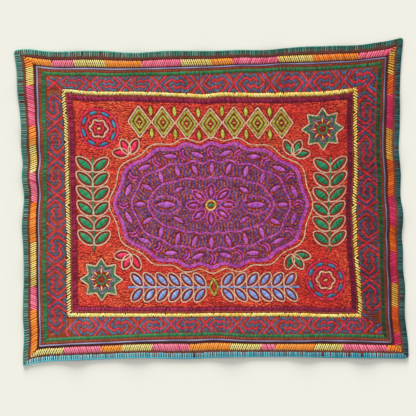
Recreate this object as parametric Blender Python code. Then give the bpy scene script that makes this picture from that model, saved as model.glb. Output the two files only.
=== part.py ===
"""An embroidered ceremonial cloth that lies flat, face up.

The cloth is thought of first as a true rectangle, with u along its length and v along its width,
in millimetres from its middle. Two functions then lay it down: lie() gives the slightly uneven
outline and inner frame of the real cloth, and lift() gives the soft creases of its border.
Every piece is worked out on the rectangle and laid down by the same two functions.
"""

import math

import bmesh
import bpy
import numpy as np

COLLECTION = "Embroidered ceremonial cloth"
MM = 0.001

# Driving sizes, in millimetres
LENGTH = 590.0
WIDTH = 479.0
HALF_U = LENGTH / 2
HALF_V = WIDTH / 2
SHEET = 2.0
SEAM_GAP = 0.3
LIFT_GAP = 0.09
CORNER_ROUND = 6.0
FRAME_INSET = 69.0
LINE_STEP = 17.0
ROW_CLEAR = 1.0
LAYING_PASSES = 3
MERGE_M = 0.00001
SMOOTH_UNDER = math.radians(40)

# Stitched bands that stand up from the cloth: how far in from the rim each one starts and ends
RAINBOW_BAND = (12.4, 21.6)
GREEN_BAND = (32.4, 37.8)
BORDER_INSET = sum(GREEN_BAND) / 2
PLUM_BAND = (75.0, 82.0)
BAND_RISE = 0.6

# Yarns laid on the cloth: where each one starts and ends, and how thick it is
LAVENDER = (24.8, 28.0)
LAVENDER_THICK = 0.9
BRAID = (65.8, 71.8)
BRAID_THICK = 1.2
YARN_SHOULDER = 0.35

# Yarn edging: a bead round the raw edge, and a tongue of stitches over the face
CLOTH_EDGE = 1.8
BEAD_INNER = CLOTH_EDGE - SEAM_GAP
BEAD_BOTTOM = 0.1
BEAD_CROWN = 0.9
TONGUE_END = 7.8
TONGUE_THICK = 0.8
MITRE_GAP = 0.35

# How far the rim and the inner frame lie outside the true rectangle, and how far the green band is
# drawn in from where the rim alone would put it: place along the side, distance
TOP_RIM = [
    (-308, 0.8), (-285, 1.9), (-262, -0.8), (-168, -0.8), (-121, -3.9), (-75, -0.8), (0, -0.8),
    (42, 0.8), (89, 0.8), (113, 3.4), (136, 5.5), (183, 7.0), (230, 8.6), (253, 11.7), (277, 15.6),
    (297, 20.5),
]
BOTTOM_RIM = [
    (-295, 14.0), (-285, 10.1), (-262, 5.5), (-238, 3.9), (-191, 2.3), (-121, -0.5), (-28, 0.8),
    (0, -0.8), (89, -2.3), (136, -2.3), (183, -0.8), (277, 0.0), (301, 0.5),
]
LEFT_RIM = [
    (-234, -0.8), (-197, -2.3), (-178, -0.8), (-150, -0.8), (-108, -2.3), (-65, -0.8), (-37, 0.8),
    (-9, -0.8), (9, -2.3), (47, 0.8), (65, -0.3), (84, 1.9), (122, 2.3), (140, 3.9), (178, 8.1),
    (215, 10.1), (239, 14.0),
]
RIGHT_RIM = [
    (-234, 10.6), (-215, 9.8), (-197, 7.8), (-178, 5.0), (-122, 4.7), (-103, 2.0), (-65, 1.6), (-47, 0.0),
    (-28, 1.6), (-9, 1.6), (9, -1.6), (47, -1.6), (84, -4.7), (122, -3.1), (178, -3.1), (234, 0.0),
    (256, 2.3),
]
TOP_DRAWN = [
    (-262, -0.5), (-238, 0.3), (-191, 1.8), (-168, 2.4), (-121, -1.6), (-72, 1.0), (-24, -1.0), (24, -2.4),
    (72, -3.5), (96, -4.0), (144, 0.0), (192, -1.1), (230, -2.4), (277, -1.0),
]
BOTTOM_DRAWN = [
    (-262, -2.0), (-238, -2.3), (-216, -1.4), (-144, -1.5), (-120, -0.9), (-96, 0.5), (-48, 3.2), (-24, 2.8),
    (0, 2.5), (24, 0.6), (48, -1.6), (96, -2.9), (144, -2.5), (168, -0.6), (192, 0.0), (216, -0.2),
    (262, -2.0),
]
LEFT_DRAWN = [
    (-206, -1.8), (-158, -0.7), (-134, -2.6), (-110, -4.0), (-86, -3.4), (-38, -0.7), (0, -2.4), (34, -0.9),
    (58, -0.2), (84, 2.3), (106, 2.2), (130, 0.8), (154, 3.7), (178, 6.2), (215, 7.0),
]
RIGHT_DRAWN = [
    (-206, -0.2), (-182, -1.4), (-158, -1.8), (-134, 0.0), (-110, -1.9), (-62, -2.3), (-38, -3.0),
    (-14, -0.4), (10, -2.8), (34, -2.6), (58, -1.7), (82, -2.4), (130, -0.8), (154, -2.2), (190, -3.0),
    (230, -2.5),
]
TOP_FRAME = [
    (-224, 6.4), (-198, 3.4), (-174, 2.3), (-128, 2.3), (-81, 1.1), (-34, -1.2), (-10, -2.4), (13, 0.4),
    (36, 0.0), (83, -0.8), (130, 0.3), (177, 2.0), (200, 4.4), (222, 7.8),
]
BOTTOM_FRAME = [
    (-221, 1.4), (-174, 1.6), (-122, 1.9), (-74, 1.9), (-26, 1.9), (10, 1.2), (46, 1.4), (94, 0.8),
    (142, 1.2), (166, 2.4), (228, 2.4),
]
LEFT_FRAME = [
    (-173, -4.7), (-156, -3.6), (-137, -3.3), (-81, -2.8), (-44, -3.0), (-6, -1.8), (50, -0.2), (87, 0.4),
    (125, 1.3), (162, 4.8), (178, 5.0),
]
RIGHT_FRAME = [
    (-172, 2.7), (-156, 3.7), (-134, 2.4), (-110, 0.8), (-86, -1.8), (-62, -3.9), (-38, -4.0), (-14, -5.5),
    (10, -5.0), (34, -3.2), (106, -3.2), (130, -3.9), (158, -2.8), (178, -3.8),
]

UNEVEN = {
    "top": (TOP_RIM, TOP_DRAWN, TOP_FRAME),
    "right": (RIGHT_RIM, RIGHT_DRAWN, RIGHT_FRAME),
    "bottom": (BOTTOM_RIM, BOTTOM_DRAWN, BOTTOM_FRAME),
    "left": (LEFT_RIM, LEFT_DRAWN, LEFT_FRAME),
}

# Sides in clockwise order: name, whether it runs along u, and which way is out
SIDES = [("top", True, 1), ("right", False, 1), ("bottom", True, -1), ("left", False, -1)]

# Soft creases that run in from the rim:
# side, place along it, width, height at the rim, reach from the rim, lean along the side per mm in
CREASES = [
    ("left", 172, 62, 3.0, 66, 0.20),
    ("left", 104, 56, 4.6, 70, -0.15),
    ("left", 36, 58, 4.2, 66, 0.25),
    ("left", -30, 54, 3.4, 60, -0.20),
    ("left", -104, 64, 4.4, 72, 0.10),
    ("left", -176, 54, 2.4, 56, 0.00),
    ("right", 150, 60, 3.4, 62, -0.20),
    ("right", 62, 66, 4.0, 70, 0.15),
    ("right", -26, 58, 4.4, 66, -0.10),
    ("right", -96, 60, 3.2, 62, 0.20),
    ("right", -170, 56, 3.8, 60, 0.00),
    ("top", -208, 64, 3.0, 60, 0.15),
    ("top", -112, 72, 3.8, 66, -0.20),
    ("top", -12, 60, 3.2, 64, 0.10),
    ("top", 96, 76, 3.6, 68, 0.20),
    ("top", 204, 62, 3.2, 60, -0.10),
    ("bottom", -216, 60, 2.6, 56, 0.10),
    ("bottom", -122, 70, 2.2, 58, -0.15),
    ("bottom", 26, 78, 2.6, 60, 0.15),
    ("bottom", 142, 66, 2.4, 58, -0.10),
    ("bottom", 232, 56, 2.8, 54, 0.00),
]


def smooth_table(table, place):
    """A smooth curve through a table's rows: cubic pieces with the slope of the neighbouring rows."""
    places, values = np.array(table, dtype=float).T
    slopes = np.gradient(values, places)
    row = np.clip(np.searchsorted(places, place) - 1, 0, len(places) - 2)
    step = places[row + 1] - places[row]
    t = np.clip((place - places[row]) / step, 0.0, 1.0)
    start = (1 + 2 * t) * (1 - t) ** 2 * values[row] + t * (1 - t) ** 2 * step * slopes[row]
    end = t * t * (3 - 2 * t) * values[row + 1] + t * t * (t - 1) * step * slopes[row + 1]
    return start + end


def side_shifts(side, place):
    """How far a side's rim, green band and inner frame lie outside the true rectangle at a place."""
    rim, drawn, inner = (smooth_table(table, place) for table in UNEVEN[side])
    return rim, rim - drawn, inner


def spread(place, half, low, high):
    """A shift that runs from one side's rim, green band and inner frame to the other side's."""
    knots = (-half, BORDER_INSET - half, FRAME_INSET - half, half - FRAME_INSET, half - BORDER_INSET, half)
    shifts = (-low[0], -low[1], -low[2], high[2], high[1], high[0])
    total = shifts[0]
    for index in range(5):
        part = np.clip((place - knots[index]) / (knots[index + 1] - knots[index]), 0.0, 1.0)
        total = total + part * (shifts[index + 1] - shifts[index])
    return total


def soften_corner(u, v):
    """Rounds the rectangle's corners: the last square of each one is drawn in to a quarter disc."""
    p = np.maximum(np.abs(u) - (HALF_U - CORNER_ROUND), 0.0)
    q = np.maximum(np.abs(v) - (HALF_V - CORNER_ROUND), 0.0)
    p_in = p * (1 - np.sqrt(1 - q * q / (2 * CORNER_ROUND ** 2)))
    q_in = q * (1 - np.sqrt(1 - p * p / (2 * CORNER_ROUND ** 2)))
    return u - np.sign(u) * p_in, v - np.sign(v) * q_in


def lie(u, v):
    """Where a point of the true rectangle lies on the real, slightly uneven cloth."""
    u, v = soften_corner(u, v)
    x, y = u, v
    for _ in range(LAYING_PASSES):
        x = u + spread(u, HALF_U, side_shifts("left", y), side_shifts("right", y))
        y = v + spread(v, HALF_V, side_shifts("bottom", x), side_shifts("top", x))
    return x, y


def lift(u, v):
    """Height of the cloth's underside: each crease is a soft bell that fades away from the rim."""
    height = np.zeros_like(u)
    for side, place, width, rise, reach, lean in CREASES:
        along = v if side in ("left", "right") else u
        inset = {"left": HALF_U + u, "right": HALF_U - u, "top": HALF_V - v, "bottom": HALF_V + v}[side]
        across = np.clip((along - place - lean * inset) / (width / 2), -1.0, 1.0)
        inward = np.clip(inset / reach, 0.0, 1.0)
        bell = np.cos(across * math.pi / 2) ** 2
        fade = (1 - inward) ** 2 * (1 + 2 * inward)
        height = height + rise * bell * fade
    return height


def band_relief(u, v):
    """Height of the stitched bands: each one is a low ridge, highest along its middle."""
    inset = np.minimum(HALF_U - np.abs(u), HALF_V - np.abs(v))
    height = np.zeros_like(u)
    for start, end in (RAINBOW_BAND, GREEN_BAND, PLUM_BAND):
        middle = (start + end) / 2
        height = height + BAND_RISE * np.clip(1 - np.abs(inset - middle) / (middle - start), 0.0, 1.0)
    return height


def cut_lines(half):
    """Places of the lines that the cloth's faces are cut along, from one edge to the other."""
    insets = [CLOTH_EDGE]
    for start, end in (RAINBOW_BAND, GREEN_BAND):
        insets += [start, (start + end) / 2, end]
    insets += [FRAME_INSET, PLUM_BAND[0], sum(PLUM_BAND) / 2, PLUM_BAND[1]]
    outer = half - np.array(insets)
    inner_half = outer[-1]
    cells = round(2 * inner_half / LINE_STEP)
    inner = np.linspace(-inner_half, inner_half, cells + 1)[1:-1]
    return np.concatenate((-outer, inner, outer[::-1]))


U_LINES = cut_lines(HALF_U)
V_LINES = cut_lines(HALF_V)


def rim_box_middle():
    """Middle of the laid-down rim's box, which becomes the origin."""
    low = np.array([math.inf, math.inf])
    high = -low
    for _, along_u, sign in SIDES:
        run = side_points(along_u, sign, np.zeros(1), 0.0)
        x, y = lie(run[..., 0], run[..., 1])
        low = np.minimum(low, (x.min(), y.min()))
        high = np.maximum(high, (x.max(), y.max()))
    return (low + high) / 2


def side_points(along_u, sign, insets, end_gap):
    """Points of one side's run, a row for each cut line and a column for each inset.

    The first and last rows are the mitres, where the run is as far from the next side's rim as
    from its own. The rows between stand on the cloth's own cut lines.
    """
    half_along, half_across, lines = (HALF_U, HALF_V, U_LINES) if along_u else (HALF_V, HALF_U, V_LINES)
    mitre = half_along - insets - end_gap
    between = lines[np.abs(lines) < half_along - max(insets.max(), CLOTH_EDGE) - ROW_CLEAR]
    along = np.vstack((-mitre, np.repeat(between[:, None], len(insets), axis=1), mitre))
    across = np.broadcast_to(sign * (half_across - insets), along.shape)
    return np.stack((along, across) if along_u else (across, along), axis=-1)


CENTRE = rim_box_middle()


def lay_down(u, v, above):
    """Finished points, in metres: above is the height over the cloth's underside."""
    x, y = lie(u, v)
    return np.stack((x - CENTRE[0], y - CENTRE[1], lift(u, v) + above), axis=-1) * MM


def thread_material(name, colour, roughness):
    """A plain matte fibre material."""
    material = bpy.data.materials.new(name)
    material.use_nodes = True
    shader = material.node_tree.nodes["Principled BSDF"]
    shader.inputs["Base Color"].default_value = (*colour, 1.0)
    shader.inputs["Roughness"].default_value = roughness
    shader.inputs["Metallic"].default_value = 0.0
    return material


def finish_piece(name, bm, material, parts):
    """Turns a bmesh into a named object of the collection."""
    bmesh.ops.recalc_face_normals(bm, faces=bm.faces)
    mesh = bpy.data.meshes.new(name)
    bm.to_mesh(mesh)
    bm.free()
    mesh.materials.append(material)
    mesh.shade_smooth()
    mesh.set_sharp_from_angle(angle=SMOOTH_UNDER)
    piece = bpy.data.objects.new(name, mesh)
    parts.objects.link(piece)
    return piece


def point_grid(bm, rows, columns):
    """A flat grid of rows by columns points, with each point's row and column in its x and y."""
    bmesh.ops.create_grid(bm, x_segments=rows - 1, y_segments=columns - 1, size=1.0)
    for vertex in bm.verts:
        vertex.co.x = round((vertex.co.x + 1) / 2 * (rows - 1))
        vertex.co.y = round((vertex.co.y + 1) / 2 * (columns - 1))


def move_points(bm, points):
    """Gives each point of a grid its finished place."""
    for vertex in bm.verts:
        vertex.co = points[round(vertex.co.x), round(vertex.co.y)]


def ground_cloth(parts):
    """The cotton cloth: a grid cut along the bands' edges, thickened, then laid down.

    Inside the plum band the cloth is level, so its face and its underside are one flat face each.
    """
    bm = bmesh.new()
    point_grid(bm, len(U_LINES), len(V_LINES))
    under_faces = bm.faces[:]
    underside = set(bm.verts)
    bmesh.ops.extrude_face_region(bm, geom=under_faces, use_keep_orig=True)
    level = {"face": [], "underside": []}
    for face in bm.faces:
        inset_u = min(HALF_U - abs(U_LINES[round(vertex.co.x)]) for vertex in face.verts)
        inset_v = min(HALF_V - abs(V_LINES[round(vertex.co.y)]) for vertex in face.verts)
        if min(inset_u, inset_v) > PLUM_BAND[1] - ROW_CLEAR:
            is_under = face.verts[0] in underside
            level["underside" if is_under else "face"].append(face)
    for vertex in bm.verts:
        u = np.array(U_LINES[round(vertex.co.x)])
        v = np.array(V_LINES[round(vertex.co.y)])
        above = 0.0 if vertex in underside else SHEET + band_relief(u, v)
        vertex.co = lay_down(u, v, above)
    for level_faces in level.values():
        bmesh.ops.dissolve_faces(bm, faces=level_faces, use_verts=False)
    madder = thread_material("madder cotton", (0.56, 0.075, 0.035), 0.9)
    return finish_piece("ground_cloth", bm, madder, parts)


def section_skin(name, points, ring, material, parts):
    """A long piece from its section points: a row for each place along it, closed round the section."""
    points = np.concatenate((points, points[:, :1]), axis=1)
    if ring:
        points = np.concatenate((points, points[:1]), axis=0)
    bm = bmesh.new()
    point_grid(bm, points.shape[0], points.shape[1])
    move_points(bm, points)
    bmesh.ops.remove_doubles(bm, verts=bm.verts, dist=MERGE_M)
    if not ring:
        bmesh.ops.holes_fill(bm, edges=[edge for edge in bm.edges if edge.is_boundary], sides=0)
    return finish_piece(name, bm, material, parts)


def over_cloth(u, v, above):
    """Laid-down points that clear the cloth's face a little more where a crease lifts it."""
    return lay_down(u, v, SHEET + above + LIFT_GAP * lift(u, v))


def edging(parts):
    """Four runs of yarn edging, each a bead at the rim with a tongue of stitches over the face."""
    crown = SHEET + SEAM_GAP + TONGUE_THICK
    insets = np.array([BEAD_INNER, BEAD_CROWN / 3, 0.0, BEAD_CROWN, TONGUE_END, TONGUE_END, BEAD_INNER])
    seat = SHEET + SEAM_GAP
    heights = np.array([BEAD_BOTTOM, BEAD_BOTTOM, crown / 2, crown, crown, seat, seat])
    material = thread_material("teal edging yarn", (0.03, 0.19, 0.17), 0.75)
    for side, along_u, sign in SIDES:
        flat = side_points(along_u, sign, insets, MITRE_GAP)
        points = over_cloth(flat[..., 0], flat[..., 1], heights - SHEET)
        section_skin("edging_" + side, points, False, material, parts)


def laid_yarn(name, start, end, thick, material, parts):
    """A closed ring of yarn that lies on the cloth, with its shoulders drawn in."""
    insets = np.array([start, start + YARN_SHOULDER, end - YARN_SHOULDER, end])
    heights = SEAM_GAP + np.array([0.0, thick, thick, 0.0])
    runs = []
    for side, along_u, sign in SIDES:
        forward = 1 if side in ("top", "left") else -1
        runs.append(side_points(along_u, sign, insets, 0.0)[::forward][:-1])
    flat = np.concatenate(runs)
    section_skin(name, over_cloth(flat[..., 0], flat[..., 1], heights), True, material, parts)


def build():
    """Clears the scene and makes every piece."""
    for old in list(bpy.data.objects):
        bpy.data.objects.remove(old)
    parts = bpy.data.collections.new(COLLECTION)
    bpy.context.scene.collection.children.link(parts)
    ground_cloth(parts)
    edging(parts)
    lavender = thread_material("lavender yarn", (0.35, 0.32, 0.55), 0.8)
    laid_yarn("lavender_yarn", *LAVENDER, LAVENDER_THICK, lavender, parts)
    yellow = thread_material("yellow braid yarn", (0.75, 0.58, 0.16), 0.8)
    laid_yarn("yellow_braid", *BRAID, BRAID_THICK, yellow, parts)


build()
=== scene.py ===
import math

import bpy
import numpy as np
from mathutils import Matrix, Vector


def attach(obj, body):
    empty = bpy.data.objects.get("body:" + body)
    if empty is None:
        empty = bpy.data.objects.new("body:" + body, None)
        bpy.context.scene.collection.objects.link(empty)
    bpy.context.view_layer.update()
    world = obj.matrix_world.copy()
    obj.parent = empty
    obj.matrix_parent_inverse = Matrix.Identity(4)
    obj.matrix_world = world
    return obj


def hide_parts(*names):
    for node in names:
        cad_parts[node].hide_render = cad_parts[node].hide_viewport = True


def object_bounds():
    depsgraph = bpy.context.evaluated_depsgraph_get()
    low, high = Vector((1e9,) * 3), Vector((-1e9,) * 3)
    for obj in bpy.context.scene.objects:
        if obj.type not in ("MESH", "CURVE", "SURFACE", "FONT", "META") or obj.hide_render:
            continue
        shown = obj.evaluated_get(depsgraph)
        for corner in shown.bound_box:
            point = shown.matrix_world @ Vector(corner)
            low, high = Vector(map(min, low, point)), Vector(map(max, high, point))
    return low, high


# Embroidered ceremonial cloth, laid flat and seen from straight above.
#
# Every stitch is worked out on the true rectangle of the cloth, with u along its length and v along
# its width in millimetres from its middle, and h above its face. laid() then carries all points
# together onto the uneven, softly creased cloth. One colour of thread is one piece.

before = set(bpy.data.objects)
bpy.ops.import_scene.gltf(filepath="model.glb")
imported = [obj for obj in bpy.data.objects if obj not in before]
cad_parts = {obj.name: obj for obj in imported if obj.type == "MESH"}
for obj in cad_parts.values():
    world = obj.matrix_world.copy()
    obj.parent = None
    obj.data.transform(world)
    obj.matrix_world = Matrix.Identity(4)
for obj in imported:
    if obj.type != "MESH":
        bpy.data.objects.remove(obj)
CAD_LOW, CAD_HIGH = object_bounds()

MM = 0.001
RNG = np.random.default_rng(41)

# The view, in millimetres: its width on the face, the place the camera looks at, and its height
VIEW_WIDTH = 416 * 1.5555
VIEW_MIDDLE = (-6.45, -5.6)
VIEW_HEIGHT = 3000.0

# The true rectangle and its layers, in millimetres: its halves, how far in the inner frame and the
# green band's middle lie, the radius of its corners, the sheet and how far in the sheet's edge lies
HALF_U = 295.0
HALF_V = 239.5
FRAME_INSET = 69.0
BORDER_INSET = 35.1
CORNER_ROUND = 6.0
SHEET = 1.7
CLOTH_EDGE = 1.4

# Bands of the border: how far in from the rim each one starts and ends, in millimetres
EDGING = (0.4, 8.7)
RAINBOW = (11.4, 22.6)
RAINBOW_SHIFT = {"top": 1.4, "right": -0.8, "bottom": -0.5, "left": 0.0}
LAVENDER = (25.5, 27.7)
OUTER_RUST = (28.1, 32.4)
GREEN = (32.0, 38.1)
KENE = (38.8, 65.2)
BRAID = (65.8, 71.8)
INNER_RUST = (71.6, 75.0)
PLUM = (74.6, 81.2)
FIELD_INSET = 81.4

# How far the rim lies outside the true rectangle, how far the green band is drawn in from where the
# rim alone would put it, and how far the inner frame lies outside: place along the side, distance
UNEVEN = {
    "top": (
        [(-308, 0.8), (-285, 1.9), (-262, -0.8), (-168, -0.8), (-121, -3.9), (-75, -0.8), (0, -0.8),
         (42, 0.8), (89, 0.8), (113, 3.4), (136, 5.5), (183, 7.0), (230, 8.6), (253, 11.7), (277, 15.6),
         (297, 20.5)],
        [(-262, -0.5), (-238, 0.3), (-191, 1.8), (-168, 2.4), (-121, -1.6), (-72, 1.0), (-24, -1.0),
         (24, -2.4), (72, -3.5), (96, -4.0), (144, 0.0), (192, -1.1), (230, -2.4), (277, -1.0)],
        [(-224, 6.4), (-198, 3.4), (-174, 2.3), (-128, 2.3), (-81, 1.1), (-34, -1.2), (-10, -2.4),
         (13, 0.4), (36, 0.0), (83, -0.8), (130, 0.3), (177, 2.0), (200, 4.4), (222, 7.8)],
    ),
    "right": (
        [(-234, 10.6), (-215, 9.8), (-197, 7.8), (-178, 5.0), (-122, 4.7), (-103, 2.0), (-65, 1.6),
         (-47, 0.0), (-28, 1.6), (-9, 1.6), (9, -1.6), (47, -1.6), (84, -4.7), (122, -3.1), (178, -3.1),
         (234, 0.0), (256, 2.3)],
        [(-206, -0.2), (-182, -1.4), (-158, -1.8), (-134, 0.0), (-110, -1.9), (-62, -2.3), (-38, -3.0),
         (-14, -0.4), (10, -2.8), (34, -2.6), (58, -1.7), (82, -2.4), (130, -0.8), (154, -2.2),
         (190, -3.0), (230, -2.5)],
        [(-172, 2.7), (-156, 3.7), (-134, 2.4), (-110, 0.8), (-86, -1.8), (-62, -3.9), (-38, -4.0),
         (-14, -5.5), (10, -5.0), (34, -3.2), (106, -3.2), (130, -3.9), (158, -2.8), (178, -3.8)],
    ),
    "bottom": (
        [(-295, 14.0), (-285, 10.1), (-262, 5.5), (-238, 3.9), (-191, 2.3), (-121, -0.5), (-28, 0.8),
         (0, -0.8), (89, -2.3), (136, -2.3), (183, -0.8), (277, 0.0), (301, 0.5)],
        [(-262, -2.0), (-238, -2.3), (-216, -1.4), (-144, -1.5), (-120, -0.9), (-96, 0.5), (-48, 3.2),
         (-24, 2.8), (0, 2.5), (24, 0.6), (48, -1.6), (96, -2.9), (144, -2.5), (168, -0.6), (192, 0.0),
         (216, -0.2), (262, -2.0)],
        [(-221, 1.4), (-174, 1.6), (-122, 1.9), (-74, 1.9), (-26, 1.9), (10, 1.2), (46, 1.4), (94, 0.8),
         (142, 1.2), (166, 2.4), (228, 2.4)],
    ),
    "left": (
        [(-234, -0.8), (-197, -2.3), (-178, -0.8), (-150, -0.8), (-108, -2.3), (-65, -0.8), (-37, 0.8),
         (-9, -0.8), (9, -2.3), (47, 0.8), (65, -0.3), (84, 1.9), (122, 2.3), (140, 3.9), (178, 8.1),
         (215, 10.1), (239, 14.0)],
        [(-206, -1.8), (-158, -0.7), (-134, -2.6), (-110, -4.0), (-86, -3.4), (-38, -0.7), (0, -2.4),
         (34, -0.9), (58, -0.2), (84, 2.3), (106, 2.2), (130, 0.8), (154, 3.7), (178, 6.2), (215, 7.0)],
        [(-173, -4.7), (-156, -3.6), (-137, -3.3), (-81, -2.8), (-44, -3.0), (-6, -1.8), (50, -0.2),
         (87, 0.4), (125, 1.3), (162, 4.8), (178, 5.0)],
    ),
}

# Soft creases that run in from the rim: place along the side, width, height at the rim, reach from
# the rim, and lean along the side for each mm inwards
CREASES = {
    "left": [(172, 62, 3.0, 66, 0.20), (104, 56, 4.6, 70, -0.15), (36, 58, 4.2, 66, 0.25),
             (-30, 54, 3.4, 60, -0.20), (-104, 64, 4.4, 72, 0.10), (-176, 54, 2.4, 56, 0.00)],
    "right": [(150, 60, 3.4, 62, -0.20), (62, 66, 4.0, 70, 0.15), (-26, 58, 4.4, 66, -0.10),
              (-96, 60, 3.2, 62, 0.20), (-170, 56, 3.8, 60, 0.00)],
    "top": [(-208, 64, 3.0, 60, 0.15), (-112, 72, 3.8, 66, -0.20), (-12, 60, 3.2, 64, 0.10),
            (96, 76, 3.6, 68, 0.20), (204, 62, 3.2, 60, -0.10)],
    "bottom": [(-216, 60, 2.6, 56, 0.10), (-122, 70, 2.2, 58, -0.15), (26, 78, 2.6, 60, 0.15),
               (142, 66, 2.4, 58, -0.10), (232, 56, 2.8, 54, 0.00)],
}

# Sides of the cloth: name, whether it runs along u, and which way is out
SIDES = [("top", True, 1), ("right", False, 1), ("bottom", True, -1), ("left", False, -1)]

# Runs of thread in the rainbow band: their colours, and the places along the side where they end
RAINBOW_RUNS = {
    "top": (["orange", "pink", "yellow"] * 4,
            [-243.6, -209.1, -163.4, -104.8, -44.1, 5.1, 35.3, 106.5, 162.2, 232.8, 300.0]),
    "right": (["yellow", "pink", "orange"] * 2 + ["pink", "orange", "yellow"] * 2,
              [-216.8, -197.3, -156.0, -121.7, -74.9, -34.3, 9.4, 65.5, 112.3, 163.8, 188.8, 300.0]),
    "bottom": (["yellow", "pink", "orange"] * 4,
               [-234.2, -175.9, -144.7, -96.3, -40.2, 24.6, 72.2, 95.6, 155.8, 200.0, 260.9, 300.0]),
    "left": (["orange", "pink", "yellow"] * 4,
             [-162.2, -126.4, -61.8, -1.1, 45.9, 87.4, 117.0, 178.5, 212.9, 300.0]),
}

# Painted light and shade by side: how much lighter (above 0) or darker the yarns' tones are set on each
# side: stitched bands, rainbow band
SIDE_SHADE = {"top": 0.2, "right": -0.18, "bottom": 0.3, "left": -0.06}
RAINBOW_SIDE_SHADE = {"top": 0.28, "right": -0.5, "bottom": 0.45, "left": -0.12}

# Places of the crossings in the kene band, along each side, from corner square to corner square.
# The first and the last place of a side are where its end repeats stop.
KENE_CROSSINGS = {
    "top": [-238, -185, -130, -79, -17, 38, 95, 154, 209, 260],
    "right": [-172, -116, -61, -8, 44, 111, 158],
    "bottom": [-229, -176, -120, -68, -14, 35, 88, 144, 202, 237],
    "left": [-200, -148, -94, -42, 12, 66, 122, 170],
}

# The kene repeat, as a chart: share of the way from one crossing to the next, and share of
# the way from the braid's side of the band to the green side. The other half of each line is the
# same one turned by half a turn, and every second repeat is mirrored.
MEANDER_BLUE = [(0.50, 0.50), (0.455, 0.57), (0.375, 0.42), (0.33, 0.42), (0.28, 0.57), (0.43, 0.93),
                (0.475, 0.93), (0.55, 0.78), (0.625, 0.93), (0.70, 0.93), (0.945, 0.47), (0.745, 0.0)]
MEANDER_RED = [(0.655, 0.0), (0.855, 0.47), (0.70, 0.755), (0.64, 0.755), (0.545, 0.61), (0.46, 0.755),
               (0.37, 0.60)]
CROSS_RED = [[(-0.16, 0.0), (0.0, 0.45), (0.215, 1.0)], [(-0.215, 1.0), (0.0, 0.45), (0.16, 0.0)]]
CROSS_BLUE = [[(-0.07, 0.0), (0.0, 0.17), (0.07, 0.0)], [(-0.095, 1.0), (0.0, 0.78), (0.095, 1.0)]]

# Lines in the corner squares of the kene band: the corner's signs, then lines in millimetres from
# the middle of its square
CORNER_LINES = {
    (-1, 1): [("crimson", [(-11, -15), (1, -2), (10, 9)]), ("crimson", [(-12, 8), (1, -2), (13, -16)]),
              ("blue", [(-12, 4), (-5, -2), (-12, -9)]), ("blue", [(-5, 10), (1, 4), (6, 10)])],
    (1, 1): [("crimson", [(-16, -19), (-1, -9)]), ("blue", [(2, -11), (13, -19)]),
             ("crimson", [(0, -14), (12, -25)]), ("blue", [(-13, -28), (-3, -20), (13, -34)]),
             ("crimson", [(-13, -35), (-3, -26), (8, -35)])],
    (1, -1): [("blue", [(-13, 20), (5, 9)]), ("crimson", [(-14, 14), (-7, 8)]),
              ("crimson", [(-11, -11), (2, 4), (-3, 9)]), ("blue", [(-3, -11), (6, 0), (13, 4)]),
              ("crimson", [(4, -11), (13, -2)]), ("blue", [(9, -12), (13, -8)])],
    (-1, -1): [("crimson", [(15, -13), (11, -6), (23, 8)])],
}

# Colours of the yarns, as red, green and blue out of 255: dark, middle and light stitches
YARNS = {
    "edging_top": ((10, 78, 72), (44, 148, 130), (142, 214, 194)),
    "edging_left": ((8, 74, 70), (46, 134, 120), (126, 190, 172)),
    "edging_right": ((0, 66, 70), (10, 132, 134), (84, 192, 188)),
    "edging_bottom": ((24, 116, 138), (64, 184, 204), (146, 224, 230)),
    "orange": ((206, 78, 12), (250, 126, 28), (255, 166, 66)),
    "pink": ((196, 30, 80), (240, 76, 118), (255, 138, 164)),
    "yellow": ((214, 150, 48), (255, 216, 100), (255, 244, 156)),
    "lavender": ((88, 82, 112), (140, 136, 172), (192, 190, 216)),
    "rust": ((108, 40, 20), (150, 64, 34), (184, 92, 54)),
    "green": ((4, 62, 38), (26, 126, 78), (62, 166, 104)),
    "crimson": ((206, 18, 54), (250, 50, 86), (255, 100, 124)),
    # Darker copies of crimson and blue for the left and right sides: painted shade.
    "deep_crimson": ((186, 14, 46), (234, 38, 72), (252, 84, 106)),
    "blue": ((0, 74, 116), (8, 118, 168), (58, 162, 202)),
    "deep_blue": ((0, 52, 88), (0, 94, 138), (20, 126, 170)),
    "braid": ((216, 150, 44), (255, 218, 100), (255, 246, 166)),
    "plum": ((96, 4, 38), (152, 18, 66), (204, 58, 108)),
    "ember": ((88, 30, 14), (148, 60, 30), (190, 96, 52)),
    "red": ((164, 20, 24), (222, 52, 42), (250, 92, 68)),
    "tangerine": ((170, 44, 24), (226, 80, 46), (250, 124, 76)),
    "terracotta": ((134, 46, 34), (188, 80, 56), (222, 116, 78)),
    "navy": ((26, 30, 98), (50, 66, 154), (84, 104, 188)),
    "violet": ((164, 56, 164), (216, 92, 196), (240, 132, 220)),
    "orchid": ((142, 60, 150), (188, 92, 188), (214, 128, 210)),
    "cream": ((226, 156, 120), (255, 212, 178), (255, 236, 210)),
    "leaf": ((8, 94, 62), (32, 146, 96), (76, 178, 122)),
    "lime": ((136, 138, 38), (188, 196, 72), (216, 222, 108)),
    "sky": ((92, 124, 188), (138, 166, 224), (182, 204, 242)),
    "hot_pink": ((206, 12, 62), (250, 36, 92), (255, 84, 128)),
    "teal_blue": ((8, 94, 134), (18, 138, 176), (60, 170, 202)),
    "gold": ((218, 166, 66), (252, 216, 112), (255, 240, 160)),
}


def smooth_table(table, place):
    """A smooth curve through a table's rows: cubic pieces with the slope of the neighbouring rows."""
    places, values = np.array(table, dtype=float).T
    slopes = np.gradient(values, places)
    row = np.clip(np.searchsorted(places, place) - 1, 0, len(places) - 2)
    step = places[row + 1] - places[row]
    t = np.clip((place - places[row]) / step, 0.0, 1.0)
    start = (1 + 2 * t) * (1 - t) ** 2 * values[row] + t * (1 - t) ** 2 * step * slopes[row]
    end = t * t * (3 - 2 * t) * values[row + 1] + t * t * (t - 1) * step * slopes[row + 1]
    return start + end


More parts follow.
